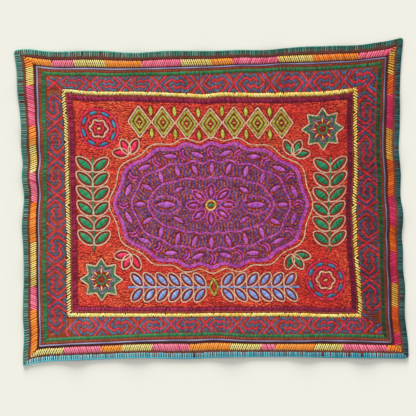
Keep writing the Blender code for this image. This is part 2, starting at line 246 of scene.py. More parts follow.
def side_shifts(side, place):
    """How far a side's rim, green band and inner frame lie outside the true rectangle at a place."""
    rim, drawn, inner = (smooth_table(table, place) for table in UNEVEN[side])
    return rim, rim - drawn, inner


def spread(place, half, low, high):
    """A shift that runs from one side's rim, green band and inner frame to the other side's."""
    knots = (-half, BORDER_INSET - half, FRAME_INSET - half, half - FRAME_INSET, half - BORDER_INSET, half)
    shifts = (-low[0], -low[1], -low[2], high[2], high[1], high[0])
    total = shifts[0]
    for index in range(5):
        part = np.clip((place - knots[index]) / (knots[index + 1] - knots[index]), 0.0, 1.0)
        total = total + part * (shifts[index + 1] - shifts[index])
    return total


def lie(u, v):
    """Where a point of the true rectangle lies: corner squares drawn in to quarter discs, then shifted."""
    p = np.maximum(np.abs(u) - (HALF_U - CORNER_ROUND), 0.0)
    q = np.maximum(np.abs(v) - (HALF_V - CORNER_ROUND), 0.0)
    u = u - np.sign(u) * p * (1 - np.sqrt(1 - np.minimum(q / CORNER_ROUND, 1.1) ** 2 / 2))
    v = v - np.sign(v) * q * (1 - np.sqrt(1 - np.minimum(p / CORNER_ROUND, 1.1) ** 2 / 2))
    x, y = u, v
    for _ in range(3):
        x = u + spread(u, HALF_U, side_shifts("left", y), side_shifts("right", y))
        y = v + spread(v, HALF_V, side_shifts("bottom", x), side_shifts("top", x))
    return x, y


def lift(u, v):
    """Height of the cloth's underside: each crease is a soft bell that fades away from the rim."""
    height = np.zeros_like(u)
    insets = {"left": HALF_U + u, "right": HALF_U - u, "top": HALF_V - v, "bottom": HALF_V + v}
    for side, creases in CREASES.items():
        along, inset = v if side in ("left", "right") else u, insets[side]
        for place, width, rise, reach, lean in creases:
            across = np.clip((along - place - lean * inset) / (width / 2), -1.0, 1.0)
            inward = np.clip(inset / reach, 0.0, 1.0)
            fade = (1 - inward) ** 2 * (1 + 2 * inward)
            height = height + rise * np.cos(across * math.pi / 2) ** 2 * fade
    return height


def half_length(side):
    """Half the length of a side."""
    return HALF_U if side[1] else HALF_V


def side_place(side, along, inset):
    """The point of the true rectangle at a place along a side and an inset from its rim."""
    _, along_u, sign = side
    across = sign * ((HALF_V if along_u else HALF_U) - inset)
    along, across = np.broadcast_arrays(along, across)
    return np.stack((along, across) if along_u else (across, along), axis=-1)


def raised(plan, h):
    """Points of the plan with a height each."""
    return np.concatenate((plan, np.broadcast_to(h, plan.shape[:-1])[..., None]), axis=-1)


def polar(centre, radius, angle):
    """The points at a distance and an angle from a centre."""
    return np.stack((centre[0] + radius * np.cos(angle), centre[1] + radius * np.sin(angle)), axis=-1)


def rim_to_frame():
    """Shift that brings the laid rim's middle to the middle of the solids' box, in millimetres."""
    share = np.linspace(-1, 1, 400)
    rim = [side_place(side, share * half_length(side), 0.0) for side in SIDES]
    x, y = lie(*np.concatenate(rim).T)
    cad_middle = [(CAD_LOW[axis] + CAD_HIGH[axis]) / 2 / MM for axis in (0, 1)]
    return np.array(cad_middle) - ((x.min() + x.max()) / 2, (y.min() + y.max()) / 2)


SHIFT = rim_to_frame()


def laid(points):
    """Carries points (u, v, h) onto the real cloth: h is added to the crease's height and the sheet."""
    u, v, h = np.moveaxis(points, -1, 0)
    x, y = lie(u, v)
    return np.stack((x + SHIFT[0], y + SHIFT[1], lift(u, v) + SHEET + h), axis=-1) * MM


def linear(colour):
    """A colour out of 255 as the linear values that shaders take."""
    c = np.array(colour) / 255.0
    return (*np.where(c <= 0.04045, c / 12.92, ((c + 0.055) / 1.055) ** 2.4), 1.0)


def feed(tree, socket, value):
    """Sets an input to a value, or links it to another node's output."""
    if isinstance(value, bpy.types.NodeSocket):
        tree.links.new(value, socket)
    else:
        socket.default_value = value


def add_node(tree, kind, *values, **settings):
    """A shader node: values for its first inputs in their order, then settings and inputs by name."""
    node = tree.nodes.new(kind)
    for key, value in settings.items():
        if hasattr(node, key):
            setattr(node, key, value)
        else:
            feed(tree, node.inputs[key], value)
    for socket, value in zip(node.inputs, values):
        feed(tree, socket, value)
    return node


def new_material(name, rough, shine, sheen=0.0):
    """A material with its node tree and its shader."""
    material = bpy.data.materials.new(name)
    material.use_nodes = True
    shader = material.node_tree.nodes["Principled BSDF"]
    for key, value in (("Roughness", rough), ("Specular IOR Level", shine), ("Sheen Weight", sheen)):
        shader.inputs[key].default_value = value
    return material, material.node_tree, shader


def finish_shader(tree, shader, colour, relief, strength, distance):
    """Gives the shader its colour, and a bump from a relief."""
    bump = add_node(tree, "ShaderNodeBump", Strength=strength, Distance=distance, Height=relief)
    tree.links.new(colour, shader.inputs["Base Color"])
    tree.links.new(bump.outputs["Normal"], shader.inputs["Normal"])


def yarn_material(name):
    """Cotton yarn: each stitch has its own tone, the dye drifts over the cloth, twist is raised.

    Place on the ramp = 0.62 times the tone plus 0.38 times the noise, less 0.6 for each metre to
    the right, a painted shade that darkens the yarns towards the right.
    """
    material, tree, shader = new_material(name + "_yarn", 0.72, 0.16, 0.05)
    tone = add_node(tree, "ShaderNodeAttribute", attribute_name="tone").outputs["Fac"]
    place = add_node(tree, "ShaderNodeTexCoord").outputs
    drift = add_node(tree, "ShaderNodeTexNoise", Vector=place["Object"], Scale=38.0, Detail=3.0,
                     Roughness=0.6)
    part = add_node(tree, "ShaderNodeMath", drift.outputs["Fac"], 0.38, operation="MULTIPLY")
    mix = add_node(tree, "ShaderNodeMath", tone, 0.62, part.outputs[0], operation="MULTIPLY_ADD")
    split = add_node(tree, "ShaderNodeSeparateXYZ", place["Object"])
    # Painted shade: the ramp place falls by 0.6 for each metre to the right.
    shaded_right = add_node(tree, "ShaderNodeMath", split.outputs["X"], -0.6, mix.outputs[0],
                      operation="MULTIPLY_ADD")
    ramp = add_node(tree, "ShaderNodeValToRGB", shaded_right.outputs[0])
    dark, middle, light = YARNS[name]
    for element, position, colour in zip(ramp.color_ramp.elements, (0.12, 0.9), (dark, light)):
        element.position = position
        element.color = linear(colour)
    ramp.color_ramp.elements.new(0.5).color = linear(middle)
    twist = add_node(tree, "ShaderNodeTexWave", wave_type="BANDS", bands_direction="DIAGONAL",
                     Vector=place["UV"], Scale=0.9, Distortion=1.2, Detail=1.0)
    finish_shader(tree, shader, ramp.outputs["Color"], twist.outputs["Fac"], 0.35, 0.0002)
    return material


def fill(items, key, values, kind):
    """Sets one property of all items at once from an array."""
    items.foreach_set(key, np.ascontiguousarray(values, dtype=kind).ravel())


def mesh_piece(name, points, faces, material, uv, tone=None):
    """A piece from arrays: finished points in metres, faces of equal length, and values per point."""
    mesh = bpy.data.meshes.new(name)
    mesh.vertices.add(len(points))
    fill(mesh.vertices, "co", points, np.float32)
    mesh.loops.add(faces.size)
    fill(mesh.loops, "vertex_index", faces, np.int32)
    mesh.polygons.add(len(faces))
    fill(mesh.polygons, "loop_start", np.arange(len(faces)) * faces.shape[1], np.int32)
    mesh.update(calc_edges=True)
    mesh.validate()
    fill(mesh.uv_layers.new(name="UVMap").data, "uv", uv[faces.ravel()], np.float32)
    if tone is not None:
        fill(mesh.attributes.new("tone", "FLOAT", "POINT").data, "value", tone, np.float32)
    mesh.shade_smooth()
    mesh.materials.append(material)
    piece = bpy.data.objects.new(name, mesh)
    bpy.context.scene.collection.objects.link(piece)
    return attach(piece, "root")


class Stitches:
    """Gathers stitches of many bands by their yarn, to be made into one piece for each yarn."""

    def __init__(self):
        self.parts = {}

    def add(self, yarn, points, faces, uv, tone):
        """Keeps one batch: points (n, k, 3), and the faces of one of its n stitches."""
        if len(points):
            self.parts.setdefault(yarn, []).append((points, faces, uv, tone))

    def make(self, yarn, name):
        """Joins a yarn's batches into one laid piece."""
        points, faces, uvs, tones, count = [], [], [], [], 0
        for batch, template, uv, tone in self.parts[yarn]:
            each = batch.shape[1]
            starts = count + np.arange(len(batch)) * each
            faces.append((template + starts[:, None, None]).reshape(-1, 3))
            points.append(batch.reshape(-1, 3))
            uvs.append(uv.reshape(-1, 2))
            tones.append(np.repeat(tone, each))
            count += len(points[-1])
        return mesh_piece(name, laid(np.concatenate(points)), np.concatenate(faces), yarn_material(yarn),
                          np.concatenate(uvs), np.concatenate(tones))


work = Stitches()


def strand_faces(rings, sides):
    """Triangles of one closed stitch: a fan at each tip, and two for each cell between rings."""
    ring, side = np.meshgrid(np.arange(rings), np.arange(sides), indexing="ij")
    here = 1 + ring * sides + side
    beside = 1 + ring * sides + (side + 1) % sides
    tip = 1 + rings * sides
    start = np.stack((np.zeros(sides, int), here[0], beside[0]), axis=-1)
    end = np.stack((np.full(sides, tip), beside[-1], here[-1]), axis=-1)
    a, b, c, d = here[:-1].ravel(), here[1:].ravel(), beside[1:].ravel(), beside[:-1].ravel()
    return np.concatenate((start, np.stack((a, b, c), -1), np.stack((a, c, d), -1), end))


def strands(yarn, path, wide, high, sides=3, tone=None):
    """Stitches along short paths (n, m, 3) of u, v and h: each section is the upper half of an oval.

    A section point is the path point, plus sin(angle) times half the width across the path, and
    cos(angle) times the height upwards, with the angle from minus to plus a quarter turn. The first
    and last path points are the stitch's tips.
    """
    count, stops = path.shape[:2]
    if not count:
        return
    ahead = np.gradient(path[..., :2], axis=1)
    ahead = ahead / np.maximum(np.linalg.norm(ahead, axis=-1, keepdims=True), 1e-6)
    across = np.stack((-ahead[..., 1], ahead[..., 0]), axis=-1)[:, 1:-1, None]
    angle = np.linspace(-math.pi / 2, math.pi / 2, sides)
    middle = path[:, 1:-1, None]
    plan = middle[..., :2] + across * np.reshape(wide, (-1, 1, 1, 1)) / 2 * np.sin(angle)[:, None]
    rings = raised(plan, middle[..., 2] + high * np.cos(angle)).reshape(count, -1, 3)
    points = np.concatenate((path[:, :1], rings, path[:, -1:]), axis=1)
    run = np.cumsum(np.linalg.norm(np.diff(path[..., :2], axis=1, prepend=path[:, :1, :2]), axis=-1), axis=1)
    run = run + RNG.uniform(0, 40, (count, 1))
    around = np.tile(angle, stops - 2)
    uv = np.stack((
        np.concatenate((run[:, :1], np.repeat(run[:, 1:-1], sides, axis=1), run[:, -1:]), axis=1),
        np.broadcast_to(np.concatenate(([0.0], around, [0.0])), (count, points.shape[1])),
    ), axis=-1)
    if tone is None:
        tone = RNG.uniform(0, 1, count)
    work.add(yarn, points, strand_faces(stops - 2, sides), uv, tone)


def arcs(start, end, stops, rise, sink=-0.15):
    """Paths from start to end points (n, 2): h leaves sink steeply, stays near rise, and dips again.

    Share t of the way: h is sink plus (rise - sink) times the 0.3rd power of the sine of pi t.
    """
    t = np.concatenate(([0.0], np.linspace(0.1, 0.9, stops - 2), [1.0]))
    plan = start[:, None] + (end - start)[:, None] * t[:, None]
    return raised(plan, sink + (rise - sink) * np.clip(np.sin(math.pi * t), 0.0, 1.0) ** 0.3)


def cross_stitches(side, band, pitch, high, slant, jitter=0.25, stops=4, ragged=0.25):
    """Stitches across a band, shortened where they meet the mitre. Returns places and paths.

    Slant is how far a stitch leans along the band, a number or a function of its place.
    """
    half_along = half_length(side)
    reach = half_along - band[0]
    along = np.arange(-reach + pitch, reach, pitch)
    along = along + RNG.uniform(-jitter, jitter, len(along)) * pitch
    inner = np.minimum(band[1], half_along - np.abs(along)) + RNG.uniform(-ragged, ragged, len(along))
    outer = band[0] + RNG.uniform(-ragged, ragged, len(along))
    keep = inner - outer > 1.0
    along, inner, outer = along[keep], inner[keep], outer[keep]
    lean = (slant(along) if callable(slant) else slant) * (inner - outer) / (band[1] - band[0])
    start = side_place(side, along - lean / 2, outer)
    end = side_place(side, along + lean / 2, inner)
    return along, arcs(start, end, stops, high * 0.3)


def even_steps(line, pitch, closed=False):
    """Points along a drawn line at an even pitch, by its running length."""
    line = np.asarray(line, float)
    if closed:
        line = np.concatenate((line, line[:1]))
    run = np.concatenate(([0.0], np.cumsum(np.linalg.norm(np.diff(line, axis=0), axis=1))))
    count = max(2, int(round(run[-1] / pitch)) + 1)
    where = np.linspace(0, run[-1], count)
    return np.stack((np.interp(where, run, line[:, 0]), np.interp(where, run, line[:, 1])), axis=-1)


def chain(yarn, line, wide, pitch=2.3, closed=False):
    """A row of chain stitch: each link is two legs that part from one hole and meet in the next."""
    stops = even_steps(line, pitch, closed)
    start, end = stops[:-1], stops[1:]
    ahead = end - start
    length = np.linalg.norm(ahead, axis=1, keepdims=True)
    side = np.stack((-ahead[:, 1], ahead[:, 0]), axis=-1) / length
    tone = RNG.uniform(0, 1, len(start))
    for leg in (-1, 1):
        shares = ((-0.12, 0.06), (0.28, 0.27), (0.72, 0.30), (1.2, 0.04))
        path = [raised(start + ahead * share + side * leg * wide * out, h)
                for (share, out), h in zip(shares, (0.0, 0.1, 0.1, 0.05))]
        strands(yarn, np.stack(path, axis=1), wide * 0.52, 0.5, 3, tone)


# The field's plan: which square millimetres already hold a motif
FIELD_U = HALF_U - FIELD_INSET
FIELD_V = HALF_V - FIELD_INSET
taken = np.zeros((int(2 * FIELD_V) + 3, int(2 * FIELD_U) + 3), dtype=bool)


def plan_cells(points):
    """Row and column of the field's plan under each point."""
    column = np.clip(np.rint(points[..., 0] + FIELD_U + 1).astype(int), 0, taken.shape[1] - 1)
    row = np.clip(np.rint(points[..., 1] + FIELD_V + 1).astype(int), 0, taken.shape[0] - 1)
    return row, column


def take(points, radius):
    """Marks the plan within a radius of each point."""
    reach = int(math.ceil(radius))
    du, dv = np.meshgrid(np.arange(-reach, reach + 1), np.arange(-reach, reach + 1))
    near = du ** 2 + dv ** 2 <= radius ** 2
    offsets = np.stack((du[near], dv[near]), axis=-1)
    taken[plan_cells(points[:, None] + offsets)] = True


def motif_line(yarn, line, wide=2.5, closed=False, clear=2.3):
    """A chain line of the field, with the ground kept clear of it."""
    take(even_steps(line, 1.0, closed), clear)
    chain(yarn, line, wide, closed=closed)


def lens_line(centre, angle, length, width):
    """Outline of a leaf shape: two mirrored half sines between its tips."""
    t = np.linspace(0, 2 * math.pi, 40, endpoint=False)
    along = -np.cos(t) * length / 2
    across = np.sin(t) * np.abs(np.sin(t)) ** 0.3 * width / 2
    c, s = math.cos(angle), math.sin(angle)
    return np.stack((centre[0] + along * c - across * s, centre[1] + along * s + across * c), axis=-1)


def satin_lens(yarn, centre, angle, length, width, pitch=1.15, clear=2.0):
    """A leaf shape filled with satin stitches across it, each as long as the leaf is wide there."""
    t = (np.arange(int(length / pitch)) + 0.5) / int(length / pitch)
    half = width / 2 * np.sin(math.pi * t) ** 0.8
    c, s = math.cos(angle), math.sin(angle)
    along = (t - 0.5) * length
    middle = np.stack((centre[0] + along * c, centre[1] + along * s), axis=-1)
    lean = 0.35
    out = np.stack((-s * half + lean * half * c, c * half + lean * half * s), axis=-1)
    strands(yarn, arcs(middle - out, middle + out, 5, 0.2, -0.05), pitch * 1.2, 0.26)
    take(np.concatenate((middle, middle + out, middle - out)), clear)


def ring_line(centre, radius, lobes=0, depth=0.0, turn=0.0):
    """A circle whose radius swells and shrinks by depth, lobes times round."""
    t = np.linspace(0, 2 * math.pi, 160, endpoint=False)
    return polar(centre, radius + depth * np.cos(lobes * t + turn), t)


# The medallion: half its length and width, the power of its rounded oblong, its lobes
MEDALLION = (150.0, 95.0)
MEDALLION_POWER = 2.3
MEDALLION_LOBES = 16


def medallion_line(inwards):
    """Outline of the medallion, moved inwards: a rounded oblong with shallow lobes."""
    t = np.linspace(0, 2 * math.pi, 720, endpoint=False)
    a = MEDALLION[0] - inwards
    b = max(MEDALLION[1] - inwards, 0.5)
    c, s = np.cos(t), np.sin(t)
    r = (np.abs(c / a) ** MEDALLION_POWER + np.abs(s / b) ** MEDALLION_POWER) ** (-1 / MEDALLION_POWER)
    r = r + 3.2 * b / MEDALLION[1] * np.cos(MEDALLION_LOBES * t)
    return np.stack((r * c, r * s), axis=-1)


def tangents(line, stops):
    """Evenly spaced points of a closed line, and the line's direction at each."""
    points = even_steps(line, 1.0, True)[:-1]
    index = (np.arange(stops) * len(points) / stops).astype(int)
    ahead = points[(index + 2) % len(points)] - points[index - 2]
    return points[index], np.arctan2(ahead[:, 1], ahead[:, 0])


def medallion():
    """Central medallion: violet contours and orchid lenses between them; its knots on terracotta rows come
    from medallion_ground.
    """
    for inwards in (0.0, 2.7, 27.0, 52.0):
        motif_line("violet", medallion_line(inwards), 2.7, True, 1.8)
    for index, (centre, angle) in enumerate(zip(*tangents(medallion_line(14.5), 32))):
        if index % 2:
            satin_lens("orchid", centre, angle, 21.0, 7.6)
        else:
            out = np.array((-math.sin(angle), math.cos(angle)))
            ahead = np.array((math.cos(angle), math.sin(angle)))
            t = np.linspace(-1, 1, 9)[:, None]
            for step in (-2.5, 2.5):
                motif_line("violet", centre + out * 7.5 * t + ahead * (4 * (1 - t * t) + step), 2.2)
    for centre, angle in zip(*tangents(medallion_line(39.5), 20)):
        satin_lens("orchid", centre, angle + math.pi / 2, 18.0, 7.2)
    for angle in np.arange(8) * math.pi / 4:
        centre = np.array((math.cos(angle) * 27, math.sin(angle) * 21))
        angle = math.atan2(centre[1], centre[0])
        motif_line("violet", lens_line(centre, angle, 26, 14), 2.2, True, 1.6)
        satin_lens("orchid", centre, angle, 15, 5.8)
    for sign in (-1, 1):
        motif_line("violet", lens_line((sign * 71, 0), 0, 46, 28), 2.4, True, 1.6)
        satin_lens("orchid", (sign * 71, 0), 0, 30, 10)
        for way in (-1, 1):
            satin_lens("orchid", (sign * 52, way * 23), sign * way * 2.6, 17, 6.4)
    motif_line("gold", ring_line((0, 0), 7.5), 2.8, True)
    satin_lens("leaf", (0, 0), 0, 9, 6)


def medallion_ground():
    """Rows of the medallion's ground, one inside the other: terracotta links and knots by turns."""
    row_step = 2.4
    link = 2.6
    for index in range(int(MEDALLION[1] / row_step)):
        line = medallion_line(4.6 + index * row_step)
        holes = even_steps(line, link, True)
        holes = holes + RNG.uniform(-0.35, 0.35, holes.shape)
        start, end = holes[:-1], holes[1:]
        middle = (start + end) / 2
        keep = ~taken[plan_cells(middle)]
        is_knot = (np.arange(len(middle)) + RNG.integers(0, 2)) % 2 == 0
        knots(middle[keep & is_knot])
        keep = keep & ~is_knot
        start, end = start[keep], end[keep]
        step = (end - start) * 0.14
        strands("terracotta", arcs(start - step, end + step, 4, 0.2, -0.1), 2.3, 0.35)


def knots(centres):
    """Round knots: short stitches as wide as they are long, well above the ground."""
    turn = RNG.uniform(0, math.pi, len(centres))
    half = np.stack((np.cos(turn), np.sin(turn)), axis=-1) * 1.15
    strands("navy", arcs(centres - half, centres + half, 5, 0.3, -0.1), 2.1, 0.65, 4)


def corner_sun(centre, turn):
    """A pink sun: two rings with teal lenses between them, round a lobed cream ring."""
    motif_line("hot_pink", ring_line(centre, 30.0), 2.8, True)
    motif_line("hot_pink", ring_line(centre, 19.5), 2.8, True)
    motif_line("cream", ring_line(centre, 13.0, 6, 1.6, turn=turn), 2.2, True)
    motif_line("hot_pink", ring_line(centre, 7.0), 2.4, True)
    for angle in turn + np.arange(8) * math.pi / 4:
        satin_lens("teal_blue", polar(centre, 24.8, angle), angle + math.pi / 2, 13.0, 4.8)
    satin_lens("gold", centre, turn, 6.0, 3.0)


def corner_star(centre):
    """A green star of eight points with a lavender star inside it, gold strokes and a cream outline."""
    def star(outer, inner):
        angle = np.arange(16) * math.pi / 8
        return polar(centre, np.where(np.arange(16) % 2 == 0, outer, inner), angle)

    motif_line("cream", star(33.0, 22.0), 2.2, True)
    motif_line("leaf", star(28.5, 17.5), 3.2, True, 2.6)
    motif_line("lavender", star(22.5, 13.0), 2.0, True)
    motif_line("leaf", ring_line(centre, 7.0), 2.6, True)
    for angle in np.arange(8) * math.pi / 4:
        satin_lens("gold", polar(centre, 13.5, angle), angle, 8.0, 2.6)
    satin_lens("rust", centre, 0.4, 6.0, 3.4)


def outlined_leaf(yarn, centre, angle, length, width):
    """A satin leaf with a cream line round it, and bare ground between the two."""
    satin_lens(yarn, centre, angle, length, width, clear=3.0)
    motif_line("cream", lens_line(centre, angle, length + 8.5, width + 8.0), 1.9, True, 1.7)


def laurel(sign):
    """A green laurel beside the medallion: a straight stem with pairs of leaves in cream outlines."""
    foot = sign * 186.0
    for row in range(6):
        for way, degrees in ((-1, 142), (1, 38)):
            centre = (foot + way * 12.5, -52 + row * 22.5)
            outlined_leaf("leaf", centre, math.radians(degrees), 24.0, 9.6)
    motif_line("leaf", [(foot, -72), (foot, 72)], 3.0)


def lozenge_row():
    """Lime lozenges in cream ones, in a row above the medallion, with lime leaves between them."""
    pitch, row = 37.0, 127.0
    for index in range(7):
        centre = ((index - 3) * pitch, row)
        for yarn, wide, tall, thick in (("cream", 18.0, 24.5, 2.1), ("lime", 13.6, 19.0, 3.0),
                                        ("lime", 7.4, 10.5, 2.8)):
            corners = np.array([(wide, 0), (0, tall), (-wide, 0), (0, -tall)])
            motif_line(yarn, corners + centre, thick, True)
        satin_lens("gold", centre, 0.0, 4.5, 2.6)
        if index:
            for way in (-1, 1):
                satin_lens("lime", (centre[0] - pitch / 2, row + way * 17.5), math.pi / 2, 15.0, 6.0)


def fern_row():
    """Sky-blue ferns below the medallion: stems with slanting leaflets, each in a cream outline."""
    row = -127.5
    for sign in (-1, 1):
        for index in range(6):
            for way in (-1, 1):
                angle = math.radians(50) * way
                centre = (sign * (22 + index * 19.5), row + way * 11.5)
                outlined_leaf("sky", centre, angle if sign > 0 else math.pi - angle, 19.0, 7.4)
        motif_line("sky", [(sign * 8, row), (sign * 134, row)], 3.0)
    motif_line("lime", [(0, row + 13.5), (7, row), (0, row - 13.5), (-7, row)], 2.8, True)


def spray(sign_u, sign_v):
    """Three outlined leaves between a corner motif and the medallion: pink on the left, else green."""
    yarn = "hot_pink" if sign_u < 0 else "leaf"
    for turn in (-0.95, 0.0, 0.95):
        angle = math.atan2(sign_v * 0.9, sign_u * 0.5) + turn
        centre = (sign_u * 127 + 15 * math.cos(angle), sign_v * 77 + 13 * math.sin(angle))
        outlined_leaf(yarn, centre, angle, 18.0, 7.0)


def field_ground():
    """Rows of red and tangerine chain links that fill the field between its motifs."""
    row_step = 2.3
    link = 2.4
    for index in range(int(2 * FIELD_V / row_step)):
        v = -FIELD_V + (index + 0.5) * row_step
        u = np.arange(-FIELD_U + 1.2, FIELD_U - 1.2, link) + RNG.uniform(0, link)
        wave = v + 1.6 * np.sin(u / 17.0 + index * 0.35) + RNG.uniform(-0.45, 0.45, len(u))
        start = np.stack((u, wave), axis=-1)
        turn = RNG.normal(0, 0.5, len(u))
        end = start + link * 1.15 * np.stack((np.cos(turn), np.sin(turn)), axis=-1)
        keep = ~taken[plan_cells((start + end) / 2)] & (end[:, 0] < FIELD_U) & (np.abs(end[:, 1]) < FIELD_V)
        patch = np.sin(u / 31.0 + 1.7 * np.sin(v / 23.0)) + RNG.normal(0, 0.8, len(u))
        for yarn, chosen in (("red", patch < 0.45), ("tangerine", patch >= 0.45)):
            these = keep & chosen
            strands(yarn, arcs(start[these], end[these], 4, 0.25, -0.15), 2.15, 0.4)


def field():
    """The framed field: its motifs first, then the grounds round them."""
    medallion()
    for sign_u in (-1, 1):
        laurel(sign_u)
        for sign_v in (-1, 1):
            centre = (sign_u * 175.0, sign_v * 116.0)
            if sign_u * sign_v < 0:
                corner_sun(centre, 0.3)
            else:
                corner_star(centre)
            spray(sign_u, sign_v)
    lozenge_row()
    fern_row()
    medallion_ground()
    motif_line("cream", medallion_line(-7.5), 1.9, True, 1.6)
    take(even_steps(medallion_line(1.0), 1.0, True), 3.0)
    inside_medallion()
    field_ground()


def inside_medallion():
    """Marks the whole medallion as taken, row of its contours by row."""
    for inwards in np.arange(0.0, MEDALLION[1], 1.5):
        take(even_steps(medallion_line(inwards), 1.5, True), 1.6)


def kene_line(side, first, second, chart, yarn, wide, turned=False, mirrored=False):
    """One line of the kene repeat between two crossings, as a chain row."""
    s, t = np.array(chart).T
    if turned:
        s, t = 1 - s, 1 - t
    if mirrored:
        t = 1 - t
    along = first + (second - first) * s
    inset = KENE[1] - (KENE[1] - KENE[0]) * t
    chain(yarn, side_place(side, along, inset), wide, 2.2)


def kene_band():
    """Crossings and meanders round the cloth, and short lines in the corner squares."""
    for side in SIDES:
        places = KENE_CROSSINGS[side[0]]
        # The left and right sides take darker copies of blue and crimson, as painted shade.
        blue, crimson = ("blue", "crimson") if side[1] else ("deep_blue", "deep_crimson")
        if side[0] == "left":
            places = places[::-1]
        for index, (first, second) in enumerate(zip(places, places[1:])):
            mirrored = (index % 2 == 0) == (side[0] == "left")
            for turned in (False, True):
                kene_line(side, first, second, MEANDER_BLUE, blue, 2.45, turned, mirrored)
                kene_line(side, first, second, MEANDER_RED, crimson, 2.35, turned, mirrored)
        step = (places[-1] - places[0]) / (len(places) - 1)
        for place in places[1:-1]:
            for chart in CROSS_RED:
                kene_line(side, place, place + step, chart, crimson, 2.4)
            for chart in CROSS_BLUE:
                kene_line(side, place, place + step, chart, blue, 2.45)
    middle = (KENE[0] + KENE[1]) / 2
    for (along, up), lines in CORNER_LINES.items():
        centre = np.array((along * (HALF_U - middle), up * (HALF_V - middle)))
        for yarn, points in lines:
            chain(yarn, centre + np.array(points), 2.7, 2.2)


def edging_cord(side):
    """The cord at the rim: a round section carried along the side, ridged like laid stitches.

    Radius = 1 + 0.12 times the cosine of the place along and round the cord, on an oval of the
    cord's width and height.
    """
    name, along_u, sign = side
    half_along = half_length(side) - 0.9
    pitch, half_width, middle, half_height = 2.7, 0.95, 1.62, 1.4
    stops = int(2 * half_along / pitch * 4)
    sides = 8
    along = np.linspace(-half_along, half_along, stops)[:, None]
    angle = (np.arange(sides) * 2 * math.pi / sides)[None]
    radius = 1 + 0.12 * np.cos(2 * math.pi * along / pitch + angle)
    inset = half_width - half_width * radius * np.sin(angle)
    h = middle + half_height * radius * np.cos(angle) - SHEET
    ring = raised(side_place(side, along, inset), h)
    ends = ring[[0, -1]].mean(axis=1)
    points = np.concatenate((ends[:1], ring.reshape(-1, 3), ends[1:]))
    faces = strand_faces(stops, sides)
    if (sign > 0) != along_u:
        faces = faces[:, ::-1]
    uv = np.stack((points[:, 0 if along_u else 1], points[:, 2]), axis=-1)
    cord_tone = np.array([0.22])
    work.add("edging_" + name, points[None], faces, uv[None], cord_tone)


def edging_legs(side):
    """Blanket stitches: legs that leave the cord, lie over the face and dip into the cloth."""
    name = side[0]
    half_along = half_length(side)
    pitch = 2.75
    along = np.arange(-half_along + 2.0, half_along - 2.0, pitch)
    along = along + RNG.uniform(-0.25, 0.25, len(along))
    depth = EDGING[1] - EDGING[0] + RNG.normal(0, 0.3, len(along))
    depth = np.minimum(depth, half_along - np.abs(along))
    lean = RNG.normal(0, 0.3, len(along))
    shares = np.array((0.0, 0.1, 0.3, 0.65, 0.92, 1.0))
    rises = np.array((0.9, 1.05, 0.75, 0.45, 0.2, -0.2))
    places = along[:, None] + lean[:, None] * shares
    path = raised(side_place(side, places, EDGING[0] + depth[:, None] * shares), rises)
    kept = RNG.uniform(0, 1, len(along)) > 0.025
    # Painted light and shade: the legs' tones are raised or lowered by side.
    tone = RNG.uniform(0.25, 0.85, len(along)) + 0.6 * SIDE_SHADE[name]
    strands("edging_" + name, path[kept], RNG.uniform(1.15, 1.55, kept.sum()), 0.5, 5, tone[kept])


def border_bands():
    """Stitched bands between the edging and the field, side by side."""
    for side in SIDES:
        edging_cord(side)
        edging_legs(side)
        rainbow(side)
        # Painted light and shade: the bands' tones are raised or lowered by side.
        depth = SIDE_SHADE[side[0]]
        for yarn, band, pitch, wide, high, slant, ragged in (
            ("rust", OUTER_RUST, 1.55, 1.4, 0.25, 0.3, 0.3),
            ("green", GREEN, 1.45, 1.3, 0.4, 0.9, 0.6),
            ("ember", KENE, 1.7, 1.45, 0.2, 0.4, 0.3),
            ("rust", INNER_RUST, 1.6, 1.4, 0.25, 0.2, 0.3),
            ("plum", PLUM, 2.1, 1.55, 0.35, 2.2, 0.9),
        ):
            _, path = cross_stitches(side, band, pitch, high, slant, ragged=ragged)
            strands(yarn, path, wide, high, tone=RNG.uniform(0.0, 0.75, len(path)) + depth)
        braid(side)


def braid(side):
    """Slanting stitches from edge to edge of the braid, in stretches that lean one way or the other."""
    if side[1]:
        pitch, lean, wide, ragged, dull, stretch = 2.7, 3.0, 2.2, 0.4, 0.25, 11.0
    else:
        pitch, lean, wide, ragged, dull, stretch = 4.0, 4.6, 1.9, 0.7, 0.45, 26.0

    def slant(along):
        sway = np.sin(along / stretch) + 0.6 * np.sin(2.56 * along / stretch)
        return np.where(sway > -0.35, lean, -lean)

    high = 0.55
    _, path = cross_stitches(side, BRAID, pitch, high, slant, 0.08, 5, ragged)
    strands("braid", path, wide, high, 4, RNG.uniform(dull, 1.1, len(path)))


def rainbow(side):
    """Hatching in runs of three colours: thin threads beneath, darkened as painted shade, and bright ones
    that slant across them.

    The cloth shows between the threads, most of all in the yellow runs.
    """
    colours, ends = RAINBOW_RUNS[side[0]]

    def run_at(along):
        return np.minimum(np.searchsorted(ends, along), len(ends) - 1)

    def slant(along):
        return np.where(run_at(along) % 3 == 1, -4.5, 4.5)

    band = [inset + RAINBOW_SHIFT[side[0]] for inset in RAINBOW]
    # The lower threads take low tones, as painted shade under the upper ones.
    for way, high, share, dull, bright in ((-1, 0.2, 0.35, 0.0, 0.2), (1, 0.45, 1.0, 0.4, 1.0)):
        along, path = cross_stitches(side, band, 3.2, high, lambda place: way * slant(place), 0.1, 5)
        # Painted light and shade: the rainbow's tones are raised or lowered by side.
        tone = RNG.uniform(dull, bright, len(along)) + RAINBOW_SIDE_SHADE[side[0]]
        for yarn, wide in (("orange", 2.45), ("pink", 2.4), ("yellow", 1.75)):
            chosen = np.array([colours[run] == yarn for run in run_at(along)])
            strands(yarn, path[chosen], wide * share, high, tone=tone[chosen])


